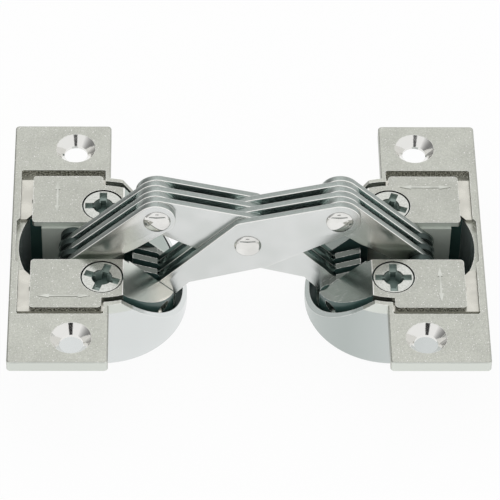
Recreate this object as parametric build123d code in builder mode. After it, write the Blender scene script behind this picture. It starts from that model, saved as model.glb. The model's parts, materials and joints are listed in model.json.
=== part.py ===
from build123d import *
from math import asin, cos, hypot, radians, sin, sqrt
import os

os.makedirs("parts", exist_ok=True)

# A concealed mitre hinge, open flat, in millimetres. X runs across the joint, Y along it, Z is up.
# It lies on its two cups, with the centre rivet over the origin. Both halves are the same casting,
# turned half round about Z, so each piece of the left half is modelled once and used twice.
# A height that starts at "deck" counts from the top face of the flanges.

# Cups and flanges
cup_radius = 17.5
cup_depth = 18.2
cup_x = 29.6
cup_wall = 0.9
cup_floor = 1.6
cup_bottom_round = 0.8
flange_outer_x = 47.7
flange_inner_x = 27.8
flange_length = 65.0
flange_thickness = 2.5
flange_corner = 0.8
flange_edge_round = 0.35
rim_x = 25.3
rim_angle = 49.4
mitre_x = 25.0
mitre_angle = 46.0
deck = cup_depth

# Wood screw holes in the flanges
hole_x = 35.1
hole_spacing = 52.0
hole_radius = 2.4
countersink_radius = 4.05
countersink_angle = 82

# Recess for the adjusting plates, cut into the flange top
recess_outer_x = 46.1
recess_inner_x = 28.8
recess_half_length = 19.7
recess_depth = 1.8
recess_corner = 0.5
notch_depth = 0.65
notch_half_length = 6.2
notch_slant = 0.8

# Travel of the adjustment, of the carrier against its housing
side_travel_out = 1.0
side_travel_in = 0.4
height_travel = 1.0

# Carrier, the inner casting that holds the links
tab_outer_x = 43.6
tab_inner_x = 29.3
tab_inner_y = 5.1
tab_outer_y = 18.0
tab_thickness = 1.2
tab_corner = 0.8
neck_outer_x = 34.4
neck_half_width = 14.0
neck_depth = 4.1
tongue_side_gap = 1.2
tongue_start_x = 23.0
cheek_outer_x = 41.7
cheek_outer_y = 6.6
cheek_end_depth = 12.0
bridge_outer_x = 33.0
bridge_thickness = 1.6
tip_radius = 2.5
carrier_floor_gap = 0.4
slot_side_gap = 0.10

# Guide rib under each tab
rib_outer_x = 42.6
rib_inner_x = 38.0
rib_y = 12.0
rib_width = 1.0
rib_depth = 0.5

# Linkage: the pivot points of the left half, seen along Y as (x, height over the deck)
rivet_x = 18.2
rivet_rise = 10.3
centre_rise = 3.2
pin_x = 17.0
pin_drop = 10.4

# Link plates
plate_count = 6
plate_thickness = 1.4
plate_gap = 0.06
outer_eye_radius = 4.3
tip_eye_radius = 2.5
crown_point = (-1.3, 7.9)
crown_radius = 1.8
heel_point = (3.2, -1.8)
heel_radius = 1.5
waist_point = (-13.3, -6.2)
waist_radius = 2.0
short_shoulder_point = (-18.5, 10.6)
short_shoulder_radius = 4.0
short_belly_point = (-24.2, 4.6)
short_belly_radius = 2.9
short_tip_point = (-36.2, -4.3)
short_tip_radius = 2.0
fin_eye_radius = 2.0
fin_crest = (-23.2, -5.2)
fin_shoulder = (-18.2, -6.9)
fin_foot_inner_x = 15.4
spacer_radius = 2.6

# Rivets and pins
rivet_radius = 2.0
rivet_head_radius = 2.75
rivet_head_height = 1.25
rivet_head_round = 0.9
pin_radius = 1.0
tip_pin_half_length = 6.4
pin_end_chamfer = 0.2
seat_gap = 0.01
running_gap = 0.05
head_gap = 0.02

# Adjusting screws
screw_x = 29.24
screw_y = 9.81
screw_head_radius = 4.04
screw_head_thickness = 1.15
screw_sink = 0.1
screw_edge_chamfer = 0.2
screw_seat_gap = 0.28
screw_journal_radius = 2.7
screw_socket_radius = 2.05
screw_socket_depth = 2.3
screw_wing_length = 7.2
screw_wing_width = 1.5
screw_wing_depth = 0.85
side_recess_turn = -20
height_recess_turn = 0
stud_radius = 1.1
stud_throw = 1.5
stud_length = 1.9
stud_side_gap = 0.1

# Sliding clearances
slide_gap = 0.02
guide_gap = 0.05
free_gap = 0.2
pocket_floor_gap = 0.2
slide_window_y = 7.0
slide_window_side_y = 8.4
slide_window_slant = 1.2

# Sizes worked out from the ones above
pitch = plate_thickness + plate_gap
pack_half = plate_count * pitch / 2
plate_face = pack_half - plate_gap / 2
slot_half = plate_face + slot_side_gap
cup_inner_radius = cup_radius - cup_wall
tongue_radius = cup_inner_radius - tongue_side_gap
carrier_bottom = cup_floor + carrier_floor_gap
channel_half = cheek_outer_y + height_travel + free_gap
pocket_outer_x = neck_outer_x + side_travel_out + free_gap
tongue_pocket_x = tongue_start_x + side_travel_out + free_gap
neck_bottom = deck - neck_depth
pocket_floor = neck_bottom - pocket_floor_gap
slide_thickness = recess_depth - tab_thickness - 2 * slide_gap
side_start = asin((side_travel_in - side_travel_out) / (2 * stud_throw))
side_swing = asin((side_travel_in + side_travel_out) / (2 * stud_throw))
height_swing = asin(height_travel / stud_throw)

# Pivot points as (x, z)
centre_pivot = (0, deck + centre_rise)
left_rivet_pivot = (-rivet_x, deck + rivet_rise)
right_rivet_pivot = (rivet_x, deck + rivet_rise)
left_tip_pivot = (-pin_x, deck - pin_drop)
short_pin_x = pin_x + rivet_x
short_pin_drop = pin_drop - (rivet_rise - centre_rise)
left_short_pivot = (-short_pin_x, deck - short_pin_drop)

across = Plane.XZ
cup_centre = (-cup_x, 0)
reach = 4 * cup_radius


def row_plane(row):
    """The plane of the rear face of a row of the pack. Row 0 is the rearmost."""
    return across.offset(row * pitch - plate_face)


def over_deck(point):
    """A point of the side view, from one given as (x, height over the deck)."""
    return (point[0], point[1] + deck)


def slant_plane(start_x, angle):
    """The plane that runs down towards the joint, from the deck at -start_x."""
    return Plane(origin=(-start_x, 0, deck), z_dir=(sin(radians(angle)), 0, cos(radians(angle))))


# Left housing: a flange with a round cup, cut off at a steep slant where the two halves meet
with BuildPart() as left_housing:
    with BuildSketch(Plane.XY.offset(deck - flange_thickness)):
        with Locations((-(flange_outer_x + flange_inner_x) / 2, 0)):
            RectangleRounded(flange_outer_x - flange_inner_x, flange_length, flange_corner)
    extrude(amount=flange_thickness)
    fillet(faces().sort_by(Axis.Z)[-1].edges(), flange_edge_round)
    with BuildSketch(Plane.XY):
        with Locations(cup_centre):
            Circle(cup_radius)
    extrude(amount=deck)
    fillet(faces().sort_by(Axis.Z)[0].edges(), cup_bottom_round)
    split(bisect_by=slant_plane(rim_x, rim_angle), keep=Keep.BOTTOM)
    # Recess for the slide plates, with a shallow relief where the folded links pass the rim
    with BuildSketch(Plane.XY.offset(deck)):
        with Locations((-(recess_outer_x + recess_inner_x) / 2, 0)):
            RectangleRounded(recess_outer_x - recess_inner_x, 2 * recess_half_length, recess_corner)
        with BuildLine():
            Polyline(
                (-recess_outer_x + notch_slant, -notch_half_length),
                (-recess_outer_x, -notch_half_length),
                (-recess_outer_x - notch_depth, -notch_half_length + notch_slant),
                (-recess_outer_x - notch_depth, notch_half_length - notch_slant),
                (-recess_outer_x, notch_half_length),
                (-recess_outer_x + notch_slant, notch_half_length),
                close=True,
            )
        make_face()
    extrude(amount=-recess_depth, mode=Mode.SUBTRACT)
    # Well along the middle for the carrier's cheeks and the folded links
    with BuildSketch(Plane.XY.offset(cup_floor)):
        with Locations(cup_centre):
            Circle(cup_inner_radius)
            Rectangle(2 * cup_radius, 2 * channel_half, mode=Mode.INTERSECT)
    extrude(amount=deck, mode=Mode.SUBTRACT)
    # Deep pocket for the tongue, out to the mitre
    with BuildSketch(Plane.XY.offset(cup_floor)):
        with Locations(cup_centre):
            Circle(cup_inner_radius)
        with Locations((-tongue_pocket_x, 0)):
            Rectangle(reach, reach, align=(Align.MIN, Align.CENTER), mode=Mode.INTERSECT)
    extrude(amount=deck, mode=Mode.SUBTRACT)
    # Shallow pocket for the neck with its two screws
    with BuildSketch(Plane.XY.offset(pocket_floor)):
        with Locations(cup_centre):
            Circle(cup_inner_radius)
        with Locations((-pocket_outer_x, 0)):
            Rectangle(reach, reach, align=(Align.MIN, Align.CENTER), mode=Mode.INTERSECT)
    extrude(amount=deck, mode=Mode.SUBTRACT)
    # Relief in the thin rim beside the eyes of the cross links
    with BuildSketch(Plane.XY.offset(cup_floor)):
        with Locations((-pin_x, 0)):
            Rectangle(
                tip_eye_radius + side_travel_in + free_gap + running_gap,
                2 * (slot_half + guide_gap),
                align=(Align.MIN, Align.CENTER),
            )
    extrude(amount=deck, mode=Mode.SUBTRACT)
    # Slots for the eccentric studs: across for the height screw, along for the side screw
    with BuildSketch(Plane.XY.offset(pocket_floor)):
        height_slot_near = stud_throw * cos(height_swing) - side_travel_in
        height_slot_far = stud_throw + side_travel_out
        with Locations((-screw_x - (height_slot_near + height_slot_far) / 2, screw_y)):
            SlotOverall(
                height_slot_far - height_slot_near + 2 * (stud_radius + stud_side_gap),
                2 * (stud_radius + stud_side_gap),
            )
        side_slot_near = stud_throw * cos(side_swing) - height_travel
        side_slot_far = stud_throw + height_travel
        with Locations(
            (-screw_x + stud_throw * sin(side_start), -screw_y - (side_slot_near + side_slot_far) / 2)
        ):
            SlotOverall(
                side_slot_far - side_slot_near + 2 * (stud_radius + stud_side_gap),
                2 * (stud_radius + stud_side_gap),
                rotation=90,
            )
    extrude(amount=-stud_length, mode=Mode.SUBTRACT)
    # Countersunk holes for the wood screws
    with Locations(Location((-hole_x, 0, deck))):
        with GridLocations(0, hole_spacing, 1, 2):
            CounterSinkHole(hole_radius, countersink_radius, 2 * flange_thickness, countersink_angle)

# Left carrier: tabs on the slide plates, a neck with the screws, a slanting tongue and two cheeks
with BuildPart() as left_carrier:
    # Tongue, a block under the mitre, rounded at its tip
    with BuildSketch(across):
        with BuildLine():
            Polyline(
                (-tongue_start_x, carrier_bottom),
                (-tongue_start_x, deck - mitre_x + tongue_start_x),
                (-pin_x, deck - mitre_x + pin_x),
                (-pin_x, carrier_bottom),
                close=True,
            )
        make_face()
        with Locations(left_tip_pivot):
            Circle(tip_radius)
        with Locations((-pin_x, carrier_bottom)):
            Rectangle(tip_radius, deck - pin_drop - carrier_bottom, align=(Align.MIN, Align.MIN))
    extrude(amount=tongue_radius, both=True)
    # Cheeks, which carry the short link pin and stand beside the links
    with BuildSketch(across):
        with BuildLine():
            Polyline(
                (-cheek_outer_x, deck - tab_thickness),
                (-cheek_outer_x, deck - cheek_end_depth),
                (-bridge_outer_x, carrier_bottom),
                (-tongue_start_x, carrier_bottom),
                (-tongue_start_x, deck - tab_thickness),
                close=True,
            )
        make_face()
    extrude(amount=cheek_outer_y, both=True)
    # Neck, a disc segment that carries the two screws
    with BuildSketch(Plane.XY.offset(neck_bottom)):
        with Locations((-neck_outer_x, 0)):
            Rectangle(
                neck_outer_x - tab_inner_x, 2 * neck_half_width, align=(Align.MIN, Align.CENTER)
            )
        with Locations((-tab_inner_x, 0)):
            Rectangle(
                tab_inner_x - tongue_start_x, 2 * tongue_radius, align=(Align.MIN, Align.CENTER)
            )
    extrude(amount=neck_depth)
    with BuildSketch(Plane.XY):
        with Locations(cup_centre):
            Circle(tongue_radius)
    extrude(amount=deck, mode=Mode.INTERSECT)
    split(bisect_by=slant_plane(mitre_x, mitre_angle), keep=Keep.BOTTOM)
    # Tabs
    with BuildSketch(Plane.XY.offset(deck - tab_thickness)):
        for side in (-1, 1):
            with Locations((-(tab_outer_x + tab_inner_x) / 2, side * (tab_outer_y + tab_inner_y) / 2)):
                RectangleRounded(tab_outer_x - tab_inner_x, tab_outer_y - tab_inner_y, tab_corner)
    extrude(amount=tab_thickness)
    # Guide ribs
    with BuildSketch(Plane.XY.offset(deck - tab_thickness)):
        for side in (-1, 1):
            with Locations((-(rib_outer_x + rib_inner_x) / 2, side * rib_y)):
                Rectangle(rib_outer_x - rib_inner_x, rib_width)
    extrude(amount=-rib_depth)
    # Opening for the links, left standing on a bridge at the bottom
    with BuildSketch(Plane.XY.offset(carrier_bottom + bridge_thickness)):
        with Locations(cup_centre):
            Rectangle(reach, 2 * slot_half)
    extrude(amount=deck, mode=Mode.SUBTRACT)
    with BuildSketch(Plane.XY.offset(deck - tab_thickness)):
        with Locations(cup_centre):
            Rectangle(reach, 2 * tab_inner_y)
    extrude(amount=deck, mode=Mode.SUBTRACT)
    # Fins that stand between the cross links and hold their pin
    for row in range(0, plate_count, 2):
        with BuildSketch(row_plane(row)):
            with BuildLine():
                Polyline(
                    (fin_crest[0], carrier_bottom),
                    over_deck(fin_crest),
                    over_deck(fin_shoulder),
                    (-pin_x, deck - pin_drop + fin_eye_radius),
                    (-pin_x + fin_eye_radius, deck - pin_drop),
                    (-fin_foot_inner_x, carrier_bottom),
                    close=True,
                )
            make_face()
            with Locations(left_tip_pivot):
                Circle(fin_eye_radius)
        extrude(amount=plate_thickness)
    # Bores for the two pins
    for pivot, bore_half_length in ((left_tip_pivot, tongue_radius), (left_short_pivot, cheek_outer_y)):
        with BuildSketch(across):
            with Locations(pivot):
                Circle(pin_radius + seat_gap)
        extrude(amount=bore_half_length, both=True, mode=Mode.SUBTRACT)
    # Seats for the screws
    with Locations(Location((-screw_x, 0, deck))):
        with GridLocations(0, 2 * screw_y, 1, 2):
            CounterBoreHole(
                screw_journal_radius + running_gap,
                screw_head_radius + screw_seat_gap,
                screw_head_thickness + screw_sink + running_gap,
                2 * neck_depth,
            )

# Rear slide plate of the left half: it moves along Y in the recess, and the carrier slides on it
slide_outer_x = recess_outer_x - guide_gap
slide_inner_x = recess_inner_x + guide_gap
slide_guide_y = cheek_outer_y + guide_gap
slide_step_x = cheek_outer_x + side_travel_out + free_gap
slide_main_x = neck_outer_x + side_travel_out + free_gap
slide_arm_y = tongue_radius + free_gap
with BuildPart() as left_slide_plate_rear:
    with BuildSketch(Plane.XY.offset(deck - tab_thickness - slide_gap - slide_thickness)):
        with BuildLine():
            Polyline(
                (-slide_outer_x, slide_window_y),
                (-tab_outer_x - slide_window_slant, slide_window_y),
                (-tab_outer_x, slide_window_side_y),
                (-slide_step_x, slide_window_side_y),
                (-slide_step_x, slide_guide_y),
                (-slide_main_x, slide_guide_y),
                (-slide_main_x, slide_arm_y),
                (-slide_inner_x, slide_arm_y),
                (-slide_inner_x, tab_outer_y),
                (-slide_outer_x, tab_outer_y),
                close=True,
            )
        make_face()
        with Locations(
            (-(rib_outer_x + rib_inner_x + side_travel_out - side_travel_in) / 2, rib_y)
        ):
            Rectangle(
                rib_outer_x - rib_inner_x + side_travel_out + side_travel_in + 2 * free_gap,
                rib_width + 2 * guide_gap,
                mode=Mode.SUBTRACT,
            )
    extrude(amount=slide_thickness)

with BuildPart() as left_slide_plate_front:
    add(left_slide_plate_rear.part)
    mirror(about=Plane.XZ)
    split(bisect_by=Plane.XZ, keep=Keep.TOP)


def adjusting_screw(centre_y, recess_turn, stud_offset):
    """A flat headed screw with a cross recess, a plain journal and an eccentric stud."""
    head_top = deck - screw_sink
    head_bottom = head_top - screw_head_thickness
    with BuildPart() as screw:
        with BuildSketch(Plane.XY.offset(head_bottom)):
            with Locations((-screw_x, centre_y)):
                Circle(screw_head_radius)
        extrude(amount=screw_head_thickness)
        chamfer(faces().sort_by(Axis.Z)[-1].edges(), screw_edge_chamfer)
        with BuildSketch(Plane.XY.offset(neck_bottom + slide_gap)):
            with Locations((-screw_x, centre_y)):
                Circle(screw_journal_radius)
        extrude(amount=head_bottom - neck_bottom - slide_gap)
        with BuildSketch(Plane.XY.offset(neck_bottom + slide_gap)):
            with Locations((-screw_x + stud_offset[0], centre_y + stud_offset[1])):
                Circle(stud_radius)
        extrude(amount=-stud_length)
        with BuildSketch(Plane.XY.offset(head_top)):
            with Locations((-screw_x, centre_y)):
                for turn in (recess_turn, recess_turn + 90):
                    Rectangle(screw_wing_length, screw_wing_width, rotation=turn)
        extrude(amount=-screw_wing_depth, mode=Mode.SUBTRACT)
        with BuildSketch(Plane.XY.offset(head_top)):
            with Locations((-screw_x, centre_y)):
                Circle(screw_socket_radius)
        extrude(amount=-screw_socket_depth, mode=Mode.SUBTRACT)
    return screw.part


left_side_screw = adjusting_screw(
    -screw_y, side_recess_turn, (stud_throw * sin(side_start), -stud_throw * cos(side_start))
)
left_height_screw = adjusting_screw(screw_y, height_recess_turn, (-stud_throw, 0))


def pivot_pin(pivot, radius, half_length, end_chamfer):
    """A plain pin along Y."""
    with BuildPart() as pin:
        with BuildSketch(across):
            with Locations(pivot):
                Circle(radius)
        extrude(amount=half_length, both=True)
        chamfer(faces().filter_by(Axis.Y).edges(), end_chamfer)
    return pin.part


def headed_rivet(pivot):
    """A rivet along Y, with a low domed head on each side of the pack."""
    with BuildPart() as rivet:
        with BuildSketch(across):
            with Locations(pivot):
                Circle(rivet_radius)
        extrude(amount=plate_face + head_gap + rivet_head_height / 2, both=True)
        for facing in (-1, 1):
            with BuildSketch(across.offset(facing * (plate_face + head_gap))):
                with Locations(pivot):
                    Circle(rivet_head_radius)
            extrude(amount=facing * rivet_head_height)
        crowns = faces().sort_by(Axis.Y)
        fillet(crowns[0].edges() + crowns[-1].edges(), rivet_head_round)
    return rivet.part


def spacer_rings(pivot):
    """The rings on the short link pin, in the rows that hold no short link."""
    with BuildPart() as rings:
        for row in range(0, plate_count, 2):
            with BuildSketch(row_plane(row)):
                with Locations(pivot):
                    Circle(spacer_radius)
                    Circle(pin_radius + seat_gap, mode=Mode.SUBTRACT)
            extrude(amount=plate_thickness)
    return rings.part


def right_cross_link(row, centre_bore):
    """A cross link from the right rivet, over the centre rivet, down to the left tip pin."""
    with BuildPart() as link:
        with BuildSketch(row_plane(row)):
            with BuildSketch(mode=Mode.PRIVATE) as body_rounds:
                with Locations(right_rivet_pivot):
                    Circle(outer_eye_radius)
                with Locations(over_deck(crown_point)):
                    Circle(crown_radius)
                with Locations(over_deck(waist_point)):
                    Circle(waist_radius)
                with Locations(over_deck(heel_point)):
                    Circle(heel_radius)
            make_hull(body_rounds.sketch.edges())
            with BuildSketch(mode=Mode.PRIVATE) as arm_rounds:
                with Locations(over_deck(crown_point)):
                    Circle(crown_radius)
                with Locations(left_tip_pivot):
                    Circle(tip_eye_radius)
                with Locations(over_deck(waist_point)):
                    Circle(waist_radius)
            make_hull(arm_rounds.sketch.edges())
            with Locations(right_rivet_pivot):
                Circle(rivet_radius + seat_gap, mode=Mode.SUBTRACT)
            with Locations(centre_pivot):
                Circle(rivet_radius + centre_bore, mode=Mode.SUBTRACT)
            with Locations(left_tip_pivot):
                Circle(pin_radius + running_gap, mode=Mode.SUBTRACT)
        extrude(amount=plate_thickness)
    return link.part


def left_short_link(row):
    """A short link from the left rivet down to the short link pin of the left carrier."""
    with BuildPart() as link:
        with BuildSketch(row_plane(row)):
            with BuildSketch(mode=Mode.PRIVATE) as link_rounds:
                with Locations(over_deck(short_shoulder_point)):
                    Circle(short_shoulder_radius)
                with Locations(over_deck(short_belly_point)):
                    Circle(short_belly_radius)
                with Locations(over_deck(short_tip_point)):
                    Circle(short_tip_radius)
            make_hull(link_rounds.sketch.edges())
            with Locations(left_rivet_pivot):
                Circle(rivet_radius + running_gap, mode=Mode.SUBTRACT)
            with Locations(left_short_pivot):
                Circle(pin_radius + running_gap, mode=Mode.SUBTRACT)
        extrude(amount=plate_thickness)
    return link.part


def turned_half_round(piece):
    """The same piece in the other half of the hinge."""
    with BuildPart() as turned:
        add(piece, rotation=(0, 0, 180))
    return turned.part


# The pieces that both halves have
half = {
    "housing": left_housing.part,
    "slide_plate_rear": left_slide_plate_rear.part,
    "slide_plate_front": left_slide_plate_front.part,
    "carrier": left_carrier.part,
    "side_screw": left_side_screw,
    "height_screw": left_height_screw,
    "short_link_pin": pivot_pin(
        left_short_pivot, pin_radius, cheek_outer_y - free_gap, pin_end_chamfer
    ),
    "cross_link_pin": pivot_pin(
        left_tip_pivot, pin_radius, tip_pin_half_length, pin_end_chamfer
    ),
    "spacer_rings": spacer_rings(left_short_pivot),
}
other_end = {"slide_plate_rear": "slide_plate_front", "slide_plate_front": "slide_plate_rear"}
pieces = {"left_" + name: piece for name, piece in half.items()}
for name, piece in half.items():
    pieces["right_" + other_end.get(name, name)] = turned_half_round(piece)

# The pack: the left cross links and right short links share the even rows, the others the odd rows
places = ("rear", "middle", "front")
for count, place in enumerate(places):
    even_row = 2 * count
    odd_row = 2 * count + 1
    pieces["right_cross_link_" + place] = right_cross_link(odd_row, running_gap)
    pieces["left_short_link_" + place] = left_short_link(odd_row)
    mirrored_row = plate_count - 1 - even_row
    pieces["left_cross_link_" + place] = turned_half_round(right_cross_link(mirrored_row, seat_gap))
    pieces["right_short_link_" + place] = turned_half_round(left_short_link(mirrored_row))

pieces["centre_rivet"] = headed_rivet(centre_pivot)
pieces["left_rivet"] = headed_rivet(left_rivet_pivot)
pieces["right_rivet"] = headed_rivet(right_rivet_pivot)

for name, piece in pieces.items():
    piece.label = name
    export_step(piece, "parts/" + name + ".step")

fold_depth = 2 * pin_drop + centre_rise
print("link length", round(hypot(pin_x, pin_drop + centre_rise), 3))
print("fold axis under the deck", round(fold_depth, 3))
print("gap of the closed mitre", round((mitre_x - fold_depth) * sqrt(2), 3))
print("side screw, radians per mm", round(2 * side_swing / (side_travel_in + side_travel_out), 5))
print("height screw, radians per mm", round(height_swing / height_travel, 5))
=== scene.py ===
import json
from math import cos, pi, radians, sin

import bmesh
import bpy
from mathutils import Matrix, Vector


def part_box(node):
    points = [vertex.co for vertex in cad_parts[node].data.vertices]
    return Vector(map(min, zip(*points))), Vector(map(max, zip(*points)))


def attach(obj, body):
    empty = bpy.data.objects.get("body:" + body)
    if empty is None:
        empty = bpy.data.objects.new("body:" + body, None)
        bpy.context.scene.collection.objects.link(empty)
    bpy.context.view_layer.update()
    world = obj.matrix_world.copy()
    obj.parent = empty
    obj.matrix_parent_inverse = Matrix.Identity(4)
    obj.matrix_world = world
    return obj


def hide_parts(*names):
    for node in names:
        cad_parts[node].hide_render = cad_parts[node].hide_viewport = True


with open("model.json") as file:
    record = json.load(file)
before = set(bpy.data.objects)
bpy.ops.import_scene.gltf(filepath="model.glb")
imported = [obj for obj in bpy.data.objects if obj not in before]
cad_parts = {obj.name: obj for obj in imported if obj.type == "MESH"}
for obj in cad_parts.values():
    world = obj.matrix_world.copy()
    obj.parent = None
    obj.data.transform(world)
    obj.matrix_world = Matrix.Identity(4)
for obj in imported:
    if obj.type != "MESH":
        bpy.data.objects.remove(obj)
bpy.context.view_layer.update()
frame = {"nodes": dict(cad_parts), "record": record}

# A concealed mitre hinge in nickel plated zinc and steel, open flat on its two cups. Metres, Z up.
# The left and the right half are the same, turned half round about Z.
mm = 0.001
nodes = frame["nodes"]
bodies = frame["record"]["behaviour"]["bodies"]
body_of = {node: body for body, members in bodies.items() for node in members}
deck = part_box("left_housing")[1].z
side_sign = {"left": 1, "right": -1}
side_turn = {"left": 0.0, "right": pi}
places = ("rear", "middle", "front")

# Flanges, cups and carriers
cup_x = 29.6 * mm
cup_inner_radius = 16.6 * mm
flange_thickness = 2.5 * mm
hole_x = 35.1 * mm
hole_y = 26.0 * mm
countersink_radius = 4.05 * mm
recess_half_length = 19.7 * mm
recess_inner_x = 28.6 * mm
recess_depth = 1.8 * mm
tab_thickness = 1.2 * mm
tab_outer_y = 18.0 * mm
slot_half = 4.45 * mm
cheek_y = 5.25 * mm
mitre_x = 25.0 * mm

# Pivots of the left half, as (x, height over the deck)
rivet_pivot = (-18.2 * mm, 10.3 * mm)
centre_pivot = (0.0, 3.2 * mm)
tip_pivot = (-17.0 * mm, -10.4 * mm)
short_pivot = (-35.2 * mm, -3.3 * mm)

# Link plates, with their rounds as (x, height over the deck, radius)
plate_thickness = 1.4 * mm
plate_pitch = 1.46 * mm
plate_edge_round = 0.2 * mm
plate_face = 4.35 * mm
bore_depth = 3 * plate_thickness
link_rounds = {
    "Eye": (-rivet_pivot[0], rivet_pivot[1], 4.3 * mm),
    "Crown": (-1.3 * mm, 7.9 * mm, 1.8 * mm),
    "Waist": (-13.3 * mm, -6.2 * mm, 2.0 * mm),
    "Heel": (3.2 * mm, -1.8 * mm, 1.5 * mm),
    "Tip": (*tip_pivot, 2.5 * mm),
}
short_rounds = {
    "Shoulder": (-18.5 * mm, 10.6 * mm, 4.0 * mm),
    "Belly": (-24.2 * mm, 4.6 * mm, 2.9 * mm),
    "Foot": (-36.2 * mm, -4.3 * mm, 2.0 * mm),
}

# Shares of the edge round cut off a plate's radius and each face, at 0, 30, 60 and 90 degrees of the rim
rim_steps = ((0.0, 1.0), (0.134, 0.5), (0.5, 0.134), (1.0, 0.0))

# Rivets and pins
rivet_radius = 2.0 * mm
rivet_bore = 2.03 * mm
rivet_head_radius = 2.75 * mm
rivet_head_height = 1.22 * mm
rivet_head_gap = 0.03 * mm
rivet_squareness = 3.4
pin_bore = 1.03 * mm

# Adjusting screws
screw_x = 29.24 * mm
screw_y = 9.81 * mm
screw_seat_radius = 4.40 * mm
screw_head_radius = 4.02 * mm
screw_head_thickness = 1.15 * mm
screw_sink = 0.12 * mm
screw_edge_round = 0.07 * mm
screw_top = deck - screw_sink
height_stud = (-1.5 * mm, 0.0)
side_stud = (-0.3 * mm, -1.47 * mm)
side_screw_turn = radians(-20)

# Facets of round shapes, and the limits by which meshes are merged, joined and smoothed
fine_round = 96
plain_round = 72
medium_round = 64
small_round = 32
dome_rings = 22
merge_distance = 0.0005 * mm
flat_angle = radians(0.5)
plate_edge_angle = radians(25)
screw_edge_angle = radians(35)
rivet_edge_angle = radians(50)

# Camera of the photograph, with its angles in degrees
photo_azimuth = -2.0
photo_elevation = 47.53
photo_roll = -1.54
photo_distance = 0.7034
photo_lens = 249.56
photo_target = Vector((0.63 * mm, 0.0, deck - 2.77 * mm))

# Studio
floor_half = 3.0
floor_shade = 0.86
floor_whiteness = 0.93
world_strength = 0.95
card_distance = 0.6
dark_flag_shade = 0.02
soft_flag_columns = 13
soft_flag_row_angle = 6
horizon_columns = 33
horizon_dark = (0.06, 0.08, 0.075)
horizon_light = (0.95, 0.95, 0.95)

# Finishes, as linear colours of the plating, and of the painted light and shade laid over it
nickel_cast = (0.51, 0.52, 0.47)
nickel_cast_dark = (0.36, 0.365, 0.33)
# Painted light: faces of the housings' flanges that look along Y are painted lighter
painted_side_light = (0.72, 0.75, 0.70)
nickel_cup = (0.73, 0.755, 0.75)
nickel_cup_shaded = (0.46, 0.50, 0.485)
nickel_tongue = (0.70, 0.73, 0.68)
# Painted shade on the right and the far tongue, and a painted highlight on the front of the left tongue
painted_right_tongue_shade = (0.38, 0.42, 0.385)
painted_far_tongue_shade = (0.42, 0.47, 0.44)
painted_tip_highlight = (0.93, 0.90, 0.82)
# Painted highlight of edges, rims and the mitre line, also the colour of the scratches
painted_highlight_and_scratch = (0.90, 0.90, 0.87)
# Painted shade of the fins in the slots
painted_fin_shade = (0.15, 0.165, 0.15)
# Grey of the cheeks, painted lighter as light in their shade
cheek_grey_with_painted_light = (0.50, 0.54, 0.49)
nickel_link = (0.73, 0.745, 0.735)
nickel_link_dark = (0.68, 0.70, 0.685)
# Painted shade on the faces of the plates that look inward
painted_inner_link_shade = (0.62, 0.70, 0.68)
# Painted light on the short links
painted_short_link_light = (0.80, 0.79, 0.75)
# Painted shade at the feet of the links
painted_link_foot_shade = (0.38, 0.41, 0.37)
nickel_sheared = (0.30, 0.33, 0.315)
nickel_sheared_light = tuple(1.25 * part for part in nickel_sheared)
# Bright nickel of the countersinks and rivets, also the colour of the painted glints
nickel_bright_and_glint = (0.82, 0.815, 0.79)
nickel_bright_dark = (0.72, 0.715, 0.69)
nickel_screw = (0.56, 0.57, 0.54)
nickel_screw_dark = (0.46, 0.47, 0.44)
nickel_arrow = (0.58, 0.59, 0.55)
nickel_arrow_dark = (0.48, 0.49, 0.45)
nickel_slide = (0.56, 0.55, 0.50)
nickel_slide_dark = tuple(0.9 * part for part in nickel_slide)
spacer_steel = (0.07, 0.09, 0.085)
spacer_steel_dark = (0.04, 0.055, 0.05)
# Painted shade in hollows: inside the cups, on the walls of the tongues and on the sunk link edges
painted_hollow_shade = (0.05, 0.10, 0.09)
# Painted shade in the screw recesses and round the screw seats
painted_recess_shade = (0.30, 0.37, 0.34)
painted_deep_recess_shade = (0.10, 0.145, 0.13)
# Painted shade on the tab ends and the recess walls, and the painted glints speckled over it
painted_tab_end_shade = (0.10, 0.095, 0.075)
painted_recess_wall_shade = (0.19, 0.185, 0.155)
rough_glint_light = (0.95, 0.94, 0.86)

# Sizes of the grain and of the painted edge highlights in the finishes
grain_size = 0.30 * mm
rough_grain_size = 0.34 * mm
screw_grain_size = 0.4 * mm
fine_grain_size = 0.25 * mm
highlight_breakup_size = 0.5 * mm
cloud_size = 5.0 * mm
link_cloud_size = 6.0 * mm
small_cloud_size = 3.0 * mm
scratch_size = 0.16 * mm
scratch_stretch = 20.0
scratch_angle = radians(68)
scratched_patch_size = 2.5 * mm
edge_highlight_width = 0.14 * mm

# Heights of the fine bumps
cast_bump = 0.012 * mm
tab_bump = 0.010 * mm
screw_bump = 0.002 * mm
link_bump = 0.0006 * mm
fine_bump = 0.0005 * mm

# Roughness of the finishes, and what is added to it in places
cup_roughness = 0.20
flange_roughness = 0.36
countersink_gloss = -0.26
recess_dullness = 0.15
edge_gloss = -0.08
tongue_roughness = 0.24
tab_roughness = 0.34
cheek_dullness = 0.25
sheared_roughness = 0.34
rolled_roughness = 0.27
screw_roughness = 0.22
screw_recess_roughness = 0.30

# Ranges of a noise, a normal or a depth that masks are made from
cloud_range = (0.35, 0.65)
grain_range = (0.40, 0.62)
glint_range = (0.62, 0.74)
scratch_range = (0.62, 0.72)
scratched_patch_range = (0.42, 0.60)
highlight_breakup_range = (0.38, 0.58)
rough_grain_range = (0.38, 0.66)
edge_range = (0.998, 0.95)
sideways_range = (0.35, 0.8)
upward_range = (0.25, 0.55)
rim_start = (0.15, 0.22)
rim_end = (0.975, 0.99)
# Depths over which the sheared link edges below the deck take painted shade
sunk_shade_range = (deck - 1.0 * mm, deck - 3.5 * mm)

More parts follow.
